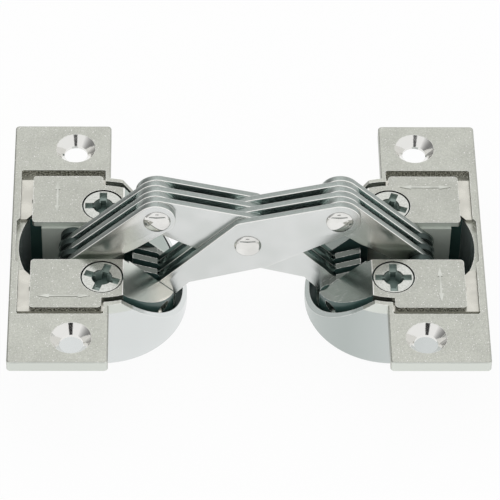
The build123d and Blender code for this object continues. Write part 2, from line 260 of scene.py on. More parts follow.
# Where the tints of the finishes, and the painted light and shade on them, change
hollow_foot = 0.4 * mm
right_cup_x = 10.0 * mm
cup_shade_x = (20.0 * mm, 36.0 * mm)
right_tongue_x = 6.0 * mm
far_tongue_y = 4.25 * mm
tip_highlight_x = (-19.0 * mm, -4.0 * mm)
tip_highlight_y = -4.0 * mm
outer_face_y = 2.8 * mm
short_link_x = 22.0 * mm
link_foot_x = 28.75 * mm


# Material nodes
def empty_material(name):
    """A material, its empty node tree and the socket of its surface."""
    material = bpy.data.materials.new(name)
    material.use_nodes = True
    tree = material.node_tree
    tree.nodes.clear()
    return material, tree, tree.nodes.new("ShaderNodeOutputMaterial").inputs["Surface"]


def start_finish(name):
    """A finish: its material, node tree, Principled shader and texture coordinates."""
    material, tree, surface = empty_material(name)
    shader = tree.nodes.new("ShaderNodeBsdfPrincipled")
    tree.links.new(shader.outputs["BSDF"], surface)
    return material, tree, shader, tree.nodes.new("ShaderNodeTexCoord").outputs


def noise(tree, vector, size, detail):
    """Noise whose features are about that size, in metres."""
    texture = tree.nodes.new("ShaderNodeTexNoise")
    texture.inputs["Scale"].default_value = 1 / size
    texture.inputs["Detail"].default_value = detail
    tree.links.new(vector, texture.inputs["Vector"])
    return texture.outputs["Fac"]


def spread(tree, value, low, high, to_low=0.0, to_high=1.0):
    """Maps a value from one range to another and keeps it inside."""
    node = tree.nodes.new("ShaderNodeMapRange")
    node.inputs["From Min"].default_value = low
    node.inputs["From Max"].default_value = high
    node.inputs["To Min"].default_value = to_low
    node.inputs["To Max"].default_value = to_high
    tree.links.new(value, node.inputs["Value"])
    return node.outputs["Result"]


def above(tree, value, limit, softness):
    """1 above a limit and 0 below it, with a soft step between."""
    return spread(tree, value, limit - softness, limit + softness)


def below(tree, value, limit, softness):
    """1 below a limit and 0 above it, with a soft step between."""
    return spread(tree, value, limit - softness, limit + softness, 1.0, 0.0)


def full_range(tree, pattern):
    """A noise pattern that reaches from 0 to 1."""
    return spread(tree, pattern, *cloud_range)


def maths(tree, operation, first, second=0.0):
    """One Math node; each of its values is a socket or a number."""
    node = tree.nodes.new("ShaderNodeMath")
    node.operation = operation
    for socket, value in zip(node.inputs, (first, second)):
        if isinstance(value, (int, float)):
            socket.default_value = value
        else:
            tree.links.new(value, socket)
    return node.outputs["Value"]


def plus(tree, first, second):
    """A sum."""
    return maths(tree, "ADD", first, second)


def minus(tree, first, second):
    """A difference."""
    return maths(tree, "SUBTRACT", first, second)


def product(tree, *values):
    """The product of several values or masks."""
    result = values[0]
    for value in values[1:]:
        result = maths(tree, "MULTIPLY", result, value)
    return result


def inverse(tree, mask):
    """1 where the mask is 0, and 0 where it is 1."""
    return minus(tree, 1.0, mask)


def between(tree, factor, first, second):
    """A number between two others."""
    return plus(tree, product(tree, factor, second - first), first)


def adjusted(tree, value, *changes):
    """A number with changes added to it, each as (mask, change)."""
    for mask, change in changes:
        value = plus(tree, value, product(tree, mask, change))
    return value


def fill(tree, socket, colour):
    """Gives a socket its colour, which is another socket or three numbers."""
    if isinstance(colour, tuple):
        socket.default_value = (*colour, 1)
    else:
        tree.links.new(colour, socket)


def blend(tree, factor, first, second):
    """A colour between two others."""
    node = tree.nodes.new("ShaderNodeMix")
    node.data_type = "RGBA"
    tree.links.new(factor, node.inputs["Factor"])
    fill(tree, node.inputs["A"], first)
    fill(tree, node.inputs["B"], second)
    return node.outputs["Result"]


def layered(tree, colour, *layers):
    """A colour with tints laid over it in turn, each as (mask, tint)."""
    for mask, tint in layers:
        colour = blend(tree, mask, colour, tint)
    return colour


def parts_of(tree, vector):
    """The X, Y and Z of a vector, as outputs."""
    node = tree.nodes.new("ShaderNodeSeparateXYZ")
    tree.links.new(vector, node.inputs["Vector"])
    return node.outputs


def likeness(tree, first, second):
    """The dot product of two vectors; the first is a socket, the second a socket or a Vector."""
    node = tree.nodes.new("ShaderNodeVectorMath")
    node.operation = "DOT_PRODUCT"
    tree.links.new(first, node.inputs[0])
    if isinstance(second, Vector):
        node.inputs[1].default_value = second
    else:
        tree.links.new(second, node.inputs[1])
    return node.outputs["Value"]


def sideways(tree, place):
    """1 on a face that looks along Y, 0 on one that looks across it."""
    lean = maths(tree, "ABSOLUTE", parts_of(tree, place["Normal"])["Y"])
    return spread(tree, lean, *sideways_range)


def upward(tree, place):
    """1 on a face that looks up, 0 on a wall."""
    return spread(tree, parts_of(tree, place["Normal"])["Z"], *upward_range)


def radius_about(tree, first, second):
    """The distance from an axis, from the two offsets across it."""
    squares = plus(tree, product(tree, first, first), product(tree, second, second))
    return maths(tree, "SQRT", squares)


def grain_bump(tree, height, distance):
    """A fine bump."""
    bump = tree.nodes.new("ShaderNodeBump")
    bump.inputs["Distance"].default_value = distance
    tree.links.new(height, bump.inputs["Height"])
    return bump.outputs["Normal"]


def painted_edge_highlights(tree, place):
    """1 along the edges, where a painted highlight is laid, broken up by the grain."""
    rounded = tree.nodes.new("ShaderNodeBevel")
    rounded.samples = 8
    rounded.inputs["Radius"].default_value = edge_highlight_width
    flat = tree.nodes.new("ShaderNodeNewGeometry")
    flatness = likeness(tree, rounded.outputs["Normal"], flat.outputs["True Normal"])
    highlight_breakup = spread(tree, noise(tree, place["Object"], highlight_breakup_size, 2.0), *highlight_breakup_range, 0.2, 1.0)
    return product(tree, spread(tree, flatness, *edge_range), highlight_breakup)


def rough_casting_in_shade(tree, place, dark):
    """The speckled skin of an unpolished wall: its dark ground is painted shade, and its light specks are
    painted glints.
    """
    grain = spread(tree, noise(tree, place["Object"], rough_grain_size, 2.0), *rough_grain_range)
    # Painted glints: light specks over the painted shade
    return blend(tree, grain, dark, rough_glint_light)


def scratches(tree, place):
    """Fine light scratches, all one way, of 0.1 mm by about 2 mm, in patches."""
    turned = tree.nodes.new("ShaderNodeMapping")
    turned.vector_type = "TEXTURE"
    turned.inputs["Rotation"].default_value = (0.0, 0.0, scratch_angle)
    turned.inputs["Scale"].default_value = (1.0, scratch_stretch, scratch_stretch)
    tree.links.new(place["Object"], turned.inputs["Vector"])
    lines = noise(tree, turned.outputs["Vector"], scratch_size, 1.0)
    patches = noise(tree, place["Object"], scratched_patch_size, 1.0)
    return product(
        tree,
        spread(tree, lines, *scratch_range, 0.0, 0.55),
        spread(tree, patches, *scratched_patch_range),
    )


def cast_skin(tree, place, grain_share, cloud_shares, glint_mask):
    """The grain of a casting, and its colour with sparse bright specks where a mask is 1; the specks are
    painted glints.
    """
    grain = noise(tree, place["Object"], grain_size, 1.0)
    cloud = noise(tree, place["Object"], cloud_size, 1.0)
    # Painted glints: sparse bright specks in the grain
    glint_specks = spread(tree, noise(tree, place["Object"], grain_size, 1.0), *glint_range, 0.0, 0.8)
    shade = plus(
        tree,
        product(tree, spread(tree, grain, *grain_range), grain_share),
        spread(tree, cloud, *cloud_range, *cloud_shares),
    )
    colour = blend(tree, shade, nickel_cast, nickel_cast_dark)
    return grain, blend(tree, product(tree, glint_specks, glint_mask), colour, nickel_bright_and_glint)


# Finishes
def cast_nickel():
    """The housings: a grained flange with painted glints and its faces along Y painted lighter, bright
    countersinks, a smooth cup with painted shade on the right one, painted shade on the recess walls and
    inside the cup, and painted edge highlights.
    """
    material, tree, shader, place = start_finish("cast_nickel")
    side_x, side_y, z = parts_of(tree, place["Object"])
    x = maths(tree, "ABSOLUTE", side_x)
    y = maths(tree, "ABSOLUTE", side_y)
    to_hole = radius_about(tree, minus(tree, x, hole_x), minus(tree, y, hole_y))
    to_cup = radius_about(tree, minus(tree, x, cup_x), y)
    flange = above(tree, z, deck - flange_thickness - 0.15 * mm, 0.15 * mm)
    cone = product(
        tree,
        below(tree, to_hole, countersink_radius + 0.01 * mm, 0.03 * mm),
        below(tree, z, deck - 0.04 * mm, 0.02 * mm),
    )
    # Painted shade: the walls of the recess, speckled with painted glints
    recess = product(
        tree,
        below(tree, y, recess_half_length + 0.05 * mm, 0.03 * mm),
        below(tree, z, deck - 0.20 * mm, 0.08 * mm),
        above(tree, z, deck - recess_depth, 0.05 * mm),
        above(tree, x, recess_inner_x, 0.2 * mm),
        sideways(tree, place),
    )
    # Painted shade: the inside of the cup is painted dark and made non-metallic
    hollow_shade_mask = product(
        tree,
        below(tree, to_cup, cup_inner_radius, 0.1 * mm),
        below(tree, z, deck - recess_depth - 0.15 * mm, 0.1 * mm),
        above(tree, z, hollow_foot, 0.1 * mm),
    )
    shaded = product(
        tree,
        above(tree, side_x, right_cup_x, 2.0 * mm),
        spread(tree, side_x, *cup_shade_x, 1.0, 0.35),
    )
    # Painted highlights along the edges
    edges = painted_edge_highlights(tree, place)
    beside_cone = inverse(tree, cone)

    grain, skin = cast_skin(tree, place, 0.65, (0.0, 0.25), beside_cone)
    # Painted light: the faces that look along Y are painted lighter
    skin = blend(tree, sideways(tree, place), skin, painted_side_light)
    colour = layered(
        tree,
        blend(tree, shaded, nickel_cup, nickel_cup_shaded),
        (flange, skin),
        (cone, nickel_bright_and_glint),
        (recess, rough_casting_in_shade(tree, place, painted_recess_wall_shade)),
        (edges, painted_highlight_and_scratch),
        (hollow_shade_mask, painted_hollow_shade),
    )
    rough = adjusted(
        tree,
        between(tree, flange, cup_roughness, flange_roughness),
        (cone, countersink_gloss),
        (recess, recess_dullness),
        (edges, edge_gloss),
    )
    bump = grain_bump(tree, product(tree, grain, flange, beside_cone), cast_bump)
    shader.inputs["Specular IOR Level"].default_value = 0.2
    tree.links.new(colour, shader.inputs["Base Color"])
    tree.links.new(inverse(tree, hollow_shade_mask), shader.inputs["Metallic"])
    tree.links.new(rough, shader.inputs["Roughness"])
    tree.links.new(bump, shader.inputs["Normal"])
    return material


def carrier_nickel():
    """The carriers: grained tabs with painted glints, tab ends in painted shade speckled with painted
    glints, a polished tongue with painted shade and a painted highlight, painted shade on its fins, walls
    and screw seats, painted edge highlights, and grey inner cheeks painted lighter.
    """
    material, tree, shader, place = start_finish("carrier_nickel")
    side_x, side_y, z = parts_of(tree, place["Object"])
    x = maths(tree, "ABSOLUTE", side_x)
    y = maths(tree, "ABSOLUTE", side_y)
    to_screw = radius_about(tree, minus(tree, x, screw_x), minus(tree, y, screw_y))
    top_face = upward(tree, place)
    tab = product(
        tree,
        above(tree, x, mitre_x + 0.05 * mm, 0.25 * mm),
        above(tree, z, deck - tab_thickness - 0.15 * mm, 0.15 * mm),
    )
    # Painted shade: the tab ends in the recess gap, speckled with painted glints
    tab_end = product(
        tree,
        above(tree, y, tab_outer_y - 0.15 * mm, 0.1 * mm),
        below(tree, z, deck - 0.16 * mm, 0.06 * mm),
    )
    under_tab = below(tree, z, deck - tab_thickness - 0.15 * mm, 0.15 * mm)
    inside = product(
        tree,
        below(tree, y, cheek_y, 0.1 * mm),
        below(tree, z, deck - 0.085 * mm, 0.035 * mm),
    )
    # Cheeks under the tab and inside the slot: a dull grey, painted lighter as light in their shade
    cheek = product(
        tree,
        maths(tree, "MAXIMUM", under_tab, inside),
        above(tree, x, mitre_x + 1.0 * mm, 1.0 * mm),
    )
    # Painted shade: the seat round the screw head
    seat = product(
        tree,
        below(tree, to_screw, screw_seat_radius, 0.04 * mm),
        below(tree, z, deck - 0.30 * mm, 0.05 * mm),
    )
    tongue = below(tree, x, mitre_x - 0.05 * mm, 0.05 * mm)
    # Painted shade: the walls of the tongue are painted dark and made less metallic
    wall = product(tree, tongue, inverse(tree, top_face))
    # Painted shade: the fins between the slots of the tongue
    fin = product(tree, tongue, below(tree, y, slot_half + 0.05 * mm, 0.05 * mm))
    # Painted highlight: a thin bright line along the mitre
    ridge = product(
        tree,
        above(tree, x, mitre_x - 0.12 * mm, 0.04 * mm),
        below(tree, x, mitre_x + 0.12 * mm, 0.04 * mm),
        above(tree, y, slot_half + 0.05 * mm, 0.05 * mm),
        top_face,
    )
    # Painted highlight on the front of the left tongue
    tip_highlight = product(
        tree,
        above(tree, side_x, tip_highlight_x[0], 1.5 * mm),
        below(tree, side_x, tip_highlight_x[1], 2.0 * mm),
        below(tree, side_y, tip_highlight_y, 1.0 * mm),
    )
    # Painted highlights along the edges, off the cheeks
    edges = product(tree, painted_edge_highlights(tree, place), inverse(tree, cheek))

    # The polished tongue, with painted shade on the right tongue and the far half, and a painted highlight
    # at the front tip
    tongue_lit_and_shaded = layered(
        tree,
        blend(tree, above(tree, side_x, right_tongue_x, 2.0 * mm), nickel_tongue, painted_right_tongue_shade),
        (above(tree, side_y, far_tongue_y, 0.75 * mm), painted_far_tongue_shade),
        (tip_highlight, painted_tip_highlight),
    )
    grain, skin = cast_skin(tree, place, 0.60, (0.25, 0.45), tab)
    colour = layered(
        tree,
        skin,
        (tongue, tongue_lit_and_shaded),
        (product(tree, scratches(tree, place), tongue), painted_highlight_and_scratch),
        (fin, painted_fin_shade),
        (wall, painted_hollow_shade),
        (cheek, cheek_grey_with_painted_light),
        (tab_end, rough_casting_in_shade(tree, place, painted_tab_end_shade)),
        (maths(tree, "MAXIMUM", edges, ridge), painted_highlight_and_scratch),
        (seat, painted_deep_recess_shade),
    )
    rough = adjusted(
        tree,
        between(tree, tab, tongue_roughness, tab_roughness),
        (maths(tree, "MAXIMUM", tab_end, cheek), cheek_dullness),
    )
    tree.links.new(colour, shader.inputs["Base Color"])
    tree.links.new(between(tree, maths(tree, "MAXIMUM", cheek, wall), 1.0, 0.2), shader.inputs["Metallic"])
    tree.links.new(rough, shader.inputs["Roughness"])
    tree.links.new(grain_bump(tree, product(tree, grain, tab), tab_bump), shader.inputs["Normal"])
    return material


def link_nickel():
    """The link plates: semi-bright rolled faces and darker sheared edges, with painted highlights on the
    rims, painted light on the short links, and painted shade at their feet, on the faces that look inward
    and on the sheared edges below the deck.
    """
    material, tree, shader, place = start_finish("link_nickel")
    x, y, z = parts_of(tree, place["Object"])
    reach = maths(tree, "ABSOLUTE", x)
    normal_y = parts_of(tree, place["Normal"])["Y"]
    lean = maths(tree, "ABSOLUTE", normal_y)
    face = sideways(tree, place)
    outer = above(tree, product(tree, y, normal_y), outer_face_y, 0.05 * mm)
    # Painted highlight: the rounded rims of the plates
    rim = product(tree, spread(tree, lean, *rim_start), spread(tree, lean, *rim_end, 1.0, 0.0))
    # Painted shade: sheared edges of the links below the deck darken with their depth
    sunk_shade_mask = spread(tree, z, *sunk_shade_range, 0.0, 0.8)
    cloud = full_range(tree, noise(tree, place["Object"], link_cloud_size, 1.0))
    grain = noise(tree, place["Object"], grain_size, 2.0)

    rolled = layered(
        tree,
        blend(tree, cloud, nickel_link, nickel_link_dark),
        # Painted light: the short links are painted lighter
        (above(tree, reach, short_link_x, 2.0 * mm), painted_short_link_light),
        # Painted shade: the links darken towards their feet
        (above(tree, reach, link_foot_x, 3.25 * mm), painted_link_foot_shade),
        # Painted shade: faces that look in between the plates
        (inverse(tree, outer), painted_inner_link_shade),
    )
    colour = layered(
        tree,
        blend(tree, full_range(tree, grain), nickel_sheared, nickel_sheared_light),
        (face, rolled),
        (rim, painted_highlight_and_scratch),
        (product(tree, sunk_shade_mask, inverse(tree, face)), painted_hollow_shade),
    )
    tree.links.new(colour, shader.inputs["Base Color"])
    shader.inputs["Metallic"].default_value = 1.0
    tree.links.new(between(tree, face, sheared_roughness, rolled_roughness), shader.inputs["Roughness"])
    tree.links.new(grain_bump(tree, grain, link_bump), shader.inputs["Normal"])
    return material


def bright_nickel(name, light, dark, rough_low, rough_high):
    """Smooth plating with a faint cloud in its colour and gloss."""
    material, tree, shader, place = start_finish(name)
    cloud = full_range(tree, noise(tree, place["Object"], small_cloud_size, 2.0))
    grain = noise(tree, place["Object"], fine_grain_size, 1.0)
    tree.links.new(blend(tree, cloud, light, dark), shader.inputs["Base Color"])
    shader.inputs["Metallic"].default_value = 1.0
    tree.links.new(between(tree, cloud, rough_low, rough_high), shader.inputs["Roughness"])
    tree.links.new(grain_bump(tree, grain, fine_bump), shader.inputs["Normal"])
    return material


def screw_nickel():
    """The adjusting screws: a bright ring, and a recess in painted shade that darkens with its depth."""
    material, tree, shader, place = start_finish("screw_nickel")
    z = parts_of(tree, place["Object"])["Z"]
    # Painted shade: the recess darkens with its depth and is made less metallic
    deep = below(tree, z, screw_top - 0.275 * mm, 0.175 * mm)
    shallow = above(tree, z, screw_top - 1.2 * mm, 0.8 * mm)
    grain = full_range(tree, noise(tree, place["Object"], screw_grain_size, 2.0))
    ring = blend(tree, grain, nickel_screw, nickel_screw_dark)
    colour = blend(tree, deep, ring, blend(tree, shallow, painted_deep_recess_shade, painted_recess_shade))
    tree.links.new(colour, shader.inputs["Base Color"])
    tree.links.new(between(tree, deep, 1.0, 0.45), shader.inputs["Metallic"])
    rough = between(tree, deep, screw_roughness, screw_recess_roughness)
    tree.links.new(rough, shader.inputs["Roughness"])
    tree.links.new(grain_bump(tree, grain, screw_bump), shader.inputs["Normal"])
    return material


finishes = {
    "housing": cast_nickel(),
    "carrier": carrier_nickel(),
    "link": link_nickel(),
    "rivet": bright_nickel("rivet_nickel", nickel_bright_and_glint, nickel_bright_dark, 0.07, 0.13),
    "screw": screw_nickel(),
    "arrows": bright_nickel("raised_arrows", nickel_arrow, nickel_arrow_dark, 0.26, 0.36),
    "slide_plate": bright_nickel("slide_nickel", nickel_slide, nickel_slide_dark, 0.24, 0.32),
    "spacer": bright_nickel("spacer_steel", spacer_steel, spacer_steel_dark, 0.45, 0.55),
    "pin": bright_nickel("pin_steel", nickel_link_dark, nickel_sheared, 0.22, 0.32),
}


def finish_of(node):
    """The material of a CAD node."""
    if "spacer" in node:
        return finishes["spacer"]
    if node.endswith("_pin"):
        return finishes["pin"]
    return next(finish for word, finish in finishes.items() if word in node)


for name, node in nodes.items():
    node.data.materials.clear()
    node.data.materials.append(finish_of(name))


# Trees of Geometry Nodes
def new_tree(name, sizes):
    """An empty tree with a named input for each size and for its finish, and a Geometry output."""
    tree = bpy.data.node_groups.new(name, "GeometryNodeTree")
    for size in sizes:
        tree.interface.new_socket(name=size, in_out="INPUT", socket_type="NodeSocketFloat")
    tree.interface.new_socket(name="Finish", in_out="INPUT", socket_type="NodeSocketMaterial")
    tree.interface.new_socket(name="Geometry", in_out="OUTPUT", socket_type="NodeSocketGeometry")
    return tree, tree.nodes.new("NodeGroupInput").outputs


def step(tree, kind, inputs, **settings):
    """One node of a tree; each input is a socket to link, a list of them, or a plain value."""
    node = tree.nodes.new(kind)
    for name, value in settings.items():
        setattr(node, name, value)
    for name, value in inputs.items():
        socket = node.inputs[name]
        for given in value if isinstance(value, list) else [value]:
            if isinstance(given, bpy.types.NodeSocket):
                tree.links.new(given, socket)
            else:
                socket.default_value = given
    return node.outputs[0]


def point(tree, x, y, z):
    """A vector from three numbers or sockets."""
    return step(tree, "ShaderNodeCombineXYZ", {"X": x, "Y": y, "Z": z})


def moved(tree, shape, offset, turn=(0.0, 0.0, 0.0), scale=(1.0, 1.0, 1.0)):
    """A shape that is scaled, then turned, then moved."""
    given = {"Geometry": shape, "Translation": offset, "Rotation": turn, "Scale": scale}
    return step(tree, "GeometryNodeTransform", given)


def turned(tree, shape, angle):
    """A shape turned about Z."""
    return moved(tree, shape, (0.0, 0.0, 0.0), point(tree, 0.0, 0.0, angle))


def joined(tree, shapes):
    """Several shapes as one."""
    return step(tree, "GeometryNodeJoinGeometry", {"Geometry": shapes})


def drum(tree, radius, length, centre, vertices=plain_round):
    """A closed cylinder along Y, about its centre."""
    cylinder = {"Vertices": vertices, "Radius": radius, "Depth": length}
    return moved(tree, step(tree, "GeometryNodeMeshCylinder", cylinder), centre, (pi / 2, 0.0, 0.0))


def block(tree, length, width, height):
    """A box about the origin."""
    return step(tree, "GeometryNodeMeshCube", {"Size": point(tree, length, width, height)})


def cut(tree, body, cutters):
    """A body less its cutters."""
    given = {"Mesh 1": body, "Mesh 2": cutters}
    return step(tree, "GeometryNodeMeshBoolean", given, operation="DIFFERENCE", solver="EXACT")


def fused(tree, shapes):
    """Shapes that overlap, as one solid."""
    return step(tree, "GeometryNodeMeshBoolean", {"Mesh 2": shapes}, operation="UNION", solver="EXACT")


def close_tree(tree, shape, finish):
    """Ends a tree in Realize Instances and Set Material."""
    shape = step(tree, "GeometryNodeRealizeInstances", {"Geometry": shape})
    shape = step(tree, "GeometryNodeSetMaterial", {"Geometry": shape, "Material": finish})
    output = tree.nodes.new("NodeGroupOutput")
    tree.links.new(shape, output.inputs["Geometry"])
    return tree


# Link plates
def round_sizes(rounds):
    """The sizes of a plate's rounds, by input name. Heights are over the floor."""
    sizes = {}
    for name, (x, rise, radius) in rounds.items():
        sizes.update({name + " X": x, name + " Z": deck + rise, name + " Radius": radius})
    return sizes


pack_sizes = {
    "Thickness": plate_thickness,
    "Edge Round": plate_edge_round,
    "Pitch": plate_pitch,
    "First Y": plate_face - plate_pitch - plate_thickness / 2,
    "Rivet Bore": rivet_bore,
    "Pin Bore": pin_bore,
}
cross_link_sizes = {
    **round_sizes(link_rounds),
    **pack_sizes,
    "Centre Z": deck + centre_pivot[1],
}
short_link_sizes = {
    **round_sizes(short_rounds),
    **pack_sizes,
    "Rivet X": rivet_pivot[0],
    "Rivet Z": deck + rivet_pivot[1],
    "Pin X": short_pivot[0],
    "Pin Z": deck + short_pivot[1],
}


def disc_of(tree, given, name):
    """A plate's round, as drums that step in round the rim, so that their hull has rounded edges."""
    centre = point(tree, given[name + " X"], 0.0, given[name + " Z"])
    drums = []
    for inward, thinner in rim_steps:
        radius = minus(tree, given[name + " Radius"], product(tree, given["Edge Round"], inward))
        thickness = minus(tree, given["Thickness"], product(tree, given["Edge Round"], 2 * thinner))
        drums.append(drum(tree, radius, thickness, centre, fine_round))
    return joined(tree, drums)


def hull_of(tree, discs):
    """The plate that a belt round its discs would enclose."""
    return step(tree, "GeometryNodeConvexHull", {"Geometry": joined(tree, discs)})


def bore(tree, given, size, x, z):
    """The cutter of a bore through a plate."""
    return drum(tree, given[size], bore_depth, point(tree, x, 0.0, z))


def plates(tree, given, outline, bores):
    """The three plates of a body: one outline, cut by its bores, set out along Y in every second row."""
    row_spacing = product(tree, given["Pitch"], -2.0)
    rows = {
        "Count": len(places),
        "Start Location": point(tree, 0.0, given["First Y"], 0.0),
        "Offset": point(tree, 0.0, row_spacing, 0.0),
    }
    spots = step(tree, "GeometryNodeMeshLine", rows, mode="OFFSET")
    plate = cut(tree, outline, bores)
    pack = step(tree, "GeometryNodeInstanceOnPoints", {"Points": spots, "Instance": plate})
    return close_tree(tree, turned(tree, pack, given["Half Turn"]), given["Finish"])


def cross_link_tree():
    """Cross links: a broad body and a slanting arm, with a bore at each pivot."""
    tree, given = new_tree("cross_link_plates", [*cross_link_sizes, "Half Turn"])
    disc = {name: disc_of(tree, given, name) for name in link_rounds}
    body = hull_of(tree, [disc["Eye"], disc["Crown"], disc["Waist"], disc["Heel"]])
    arm = hull_of(tree, [disc["Crown"], disc["Waist"], disc["Tip"]])
    bores = [
        bore(tree, given, "Rivet Bore", given["Eye X"], given["Eye Z"]),
        bore(tree, given, "Rivet Bore", 0.0, given["Centre Z"]),
        bore(tree, given, "Pin Bore", given["Tip X"], given["Tip Z"]),
    ]
    return plates(tree, given, fused(tree, [body, arm]), bores)


def short_link_tree():
    """Short links: one slanting plate, broad at the rivet and narrow at its foot."""
    tree, given = new_tree("short_link_plates", [*short_link_sizes, "Half Turn"])
    outline = hull_of(tree, [disc_of(tree, given, name) for name in short_rounds])
    bores = [
        bore(tree, given, "Rivet Bore", given["Rivet X"], given["Rivet Z"]),
        bore(tree, given, "Pin Bore", given["Pin X"], given["Pin Z"]),
    ]
    return plates(tree, given, outline, bores)


# Rivets
rivet_sizes = {
    "Face": plate_face + rivet_head_gap,
    "Shank Radius": rivet_radius,
    "Head Radius": rivet_head_radius,
    "Head Height": rivet_head_height,
    "Squareness": rivet_squareness,
    "Least Width": 0.0004,
}


def rivet_dome(tree, given):
    """A flat domed head on the side of Y: a circle swept along the pivot and drawn in towards its top."""
    line = {"Start": (0.0, 0.0, 0.0), "End": (0.0, 1.0, 0.0)}
    axis = step(tree, "GeometryNodeCurvePrimitiveLine", line, mode="POINTS")
    axis = step(tree, "GeometryNodeResampleCurve", {"Curve": axis, "Count": dome_rings}, mode="COUNT")
    angle = product(tree, step(tree, "GeometryNodeSplineParameter", {}), pi / 2)
    power = maths(tree, "DIVIDE", 2.0, given["Squareness"])
    rise = maths(tree, "POWER", maths(tree, "SINE", angle), power)
    open_width = maths(tree, "MAXIMUM", maths(tree, "COSINE", angle), given["Least Width"])
    along = plus(tree, given["Face"], product(tree, rise, given["Head Height"]))
    spots = point(tree, given["Pivot X"], along, given["Pivot Z"])
    circle = {"Resolution": medium_round, "Radius": given["Head Radius"]}
    sweep = {
        "Curve": step(tree, "GeometryNodeSetPosition", {"Geometry": axis, "Position": spots}),
        "Profile Curve": step(tree, "GeometryNodeCurvePrimitiveCircle", circle, mode="RADIUS"),
        "Scale": maths(tree, "POWER", open_width, power),
        "Fill Caps": True,
    }
    return step(tree, "GeometryNodeCurveToMesh", sweep)


def rivet_tree():
    """A rivet along Y: a shank and two flat domes."""
    tree, given = new_tree("domed_rivet", [*rivet_sizes, "Pivot X", "Pivot Z"])
    dome = rivet_dome(tree, given)
    far_side = point(tree, product(tree, given["Pivot X"], 2.0), 0.0, 0.0)
    far_dome = moved(tree, dome, far_side, (0.0, 0.0, pi))
    shank_length = product(tree, given["Face"], 2.0)
    pivot = point(tree, given["Pivot X"], 0.0, given["Pivot Z"])
    shank = drum(tree, given["Shank Radius"], shank_length, pivot)
    return close_tree(tree, joined(tree, [dome, far_dome, shank]), given["Finish"])


# Adjusting screws
screw_sizes = {
    "Head Top": screw_top,
    "Head Radius": screw_head_radius,
    "Head Thickness": screw_head_thickness,
    "Journal Radius": 2.7 * mm,
    "Journal Start Share": 0.6,
    "Journal End": deck - 4.08 * mm,
    "Stud Radius": 1.1 * mm,
    "Stud Length": 1.9 * mm,
    "Socket Radius": 2.15 * mm,
    "Socket Foot": 1.35 * mm,
    "Socket Depth": 2.3 * mm,
    "Socket Overshoot": 0.25 * mm,
    "Wing Length": 7.3 * mm,
    "Wing Width": 1.5 * mm,
    "Wing Depth": 0.85 * mm,
    "Slot Length": 4.4 * mm,
    "Slot Width": 1.1 * mm,
    "Slot Depth": 2.3 * mm,
}
screw_places = ("Centre X", "Centre Y", "Turn", "Stud X", "Stud Y")


def hanging_drum(tree, radius, length, axis, top, vertices=plain_round):
    """A closed cylinder along Z that hangs down from its top, round an axis given by its X and Y."""
    middle = minus(tree, top, product(tree, length, 0.5))
    cylinder = {"Vertices": vertices, "Radius": radius, "Depth": length}
    return moved(tree, step(tree, "GeometryNodeMeshCylinder", cylinder), point(tree, *axis, middle))


def screw_recess(tree, given):
    """The cutters of the recess: a tapered socket, a broad shallow cross and a narrow deep one."""
    top = given["Head Top"]
    cone = {
        "Vertices": medium_round,
        "Radius Bottom": given["Socket Foot"],
        "Radius Top": given["Socket Radius"],
        "Depth": plus(tree, given["Socket Depth"], given["Socket Overshoot"]),
    }
    foot = point(tree, 0.0, 0.0, minus(tree, top, given["Socket Depth"]))
    cutters = [moved(tree, step(tree, "GeometryNodeMeshCone", cone), foot)]
    for size in ("Wing", "Slot"):
        height = product(tree, given[size + " Depth"], 2.0)
        bar = block(tree, given[size + " Length"], given[size + " Width"], height)
        for quarter in (0.0, pi / 2):
            turn = point(tree, 0.0, 0.0, plus(tree, given["Turn"], quarter))
            cutters.append(moved(tree, bar, point(tree, 0.0, 0.0, top), turn))
    return cutters


def screw_tree():
    """An adjusting screw: a flat head with a cross recess round a socket, a journal and a stud."""
    tree, given = new_tree("cross_recess_screw", [*screw_sizes, *screw_places])
    top, end = given["Head Top"], given["Journal End"]
    start = minus(tree, top, product(tree, given["Head Thickness"], given["Journal Start Share"]))
    axis = (0.0, 0.0)
    stud_axis = (given["Stud X"], given["Stud Y"])
    head = hanging_drum(tree, given["Head Radius"], given["Head Thickness"], axis, top, fine_round)
    journal = hanging_drum(tree, given["Journal Radius"], minus(tree, start, end), axis, start)
    stud = hanging_drum(tree, given["Stud Radius"], given["Stud Length"], stud_axis, end, small_round)
    solid = cut(tree, fused(tree, [head, journal]), screw_recess(tree, given))
    screw = moved(tree, joined(tree, [solid, stud]), point(tree, given["Centre X"], given["Centre Y"], 0.0))
    return close_tree(tree, screw, given["Finish"])


# Raised arrows, with the length and the width of a three-sided cylinder of radius 1
wedge_length = 1.5
wedge_width = 1.732
arrow_sizes = {
    "Deck": deck,
    "Height": 0.10 * mm,
    "Sink": 0.05 * mm,
    "Shaft Width": 0.34 * mm,
    "Head Width": 1.05 * mm,
    "Head Length": 2.3 * mm,
    "Length X": 10.4 * mm,
    "Length Y": 9.2 * mm,
    "Arrow X X": -36.8 * mm,
    "Arrow X Y": -14.95 * mm,
    "Arrow Y X": -38.6 * mm,
    "Arrow Y Y": 11.95 * mm,
}


def double_arrow(tree, given, length, thick):
    """A double arrow along X about the origin."""
    long = maths(tree, "DIVIDE", given["Head Length"], wedge_length)
    wide = maths(tree, "DIVIDE", given["Head Width"], wedge_width)
    reach = minus(tree, product(tree, length, 0.5), long)
    wedge = step(tree, "GeometryNodeMeshCylinder", {"Vertices": 3, "Radius": 1.0, "Depth": 1.0})
    scale = point(tree, long, wide, thick)
    head = moved(tree, wedge, point(tree, reach, 0.0, 0.0), scale=scale)
    shaft_length = minus(tree, length, product(tree, given["Head Length"], 2.0))
    shaft = block(tree, shaft_length, given["Shaft Width"], thick)
    return joined(tree, [shaft, head, turned(tree, head, pi)])


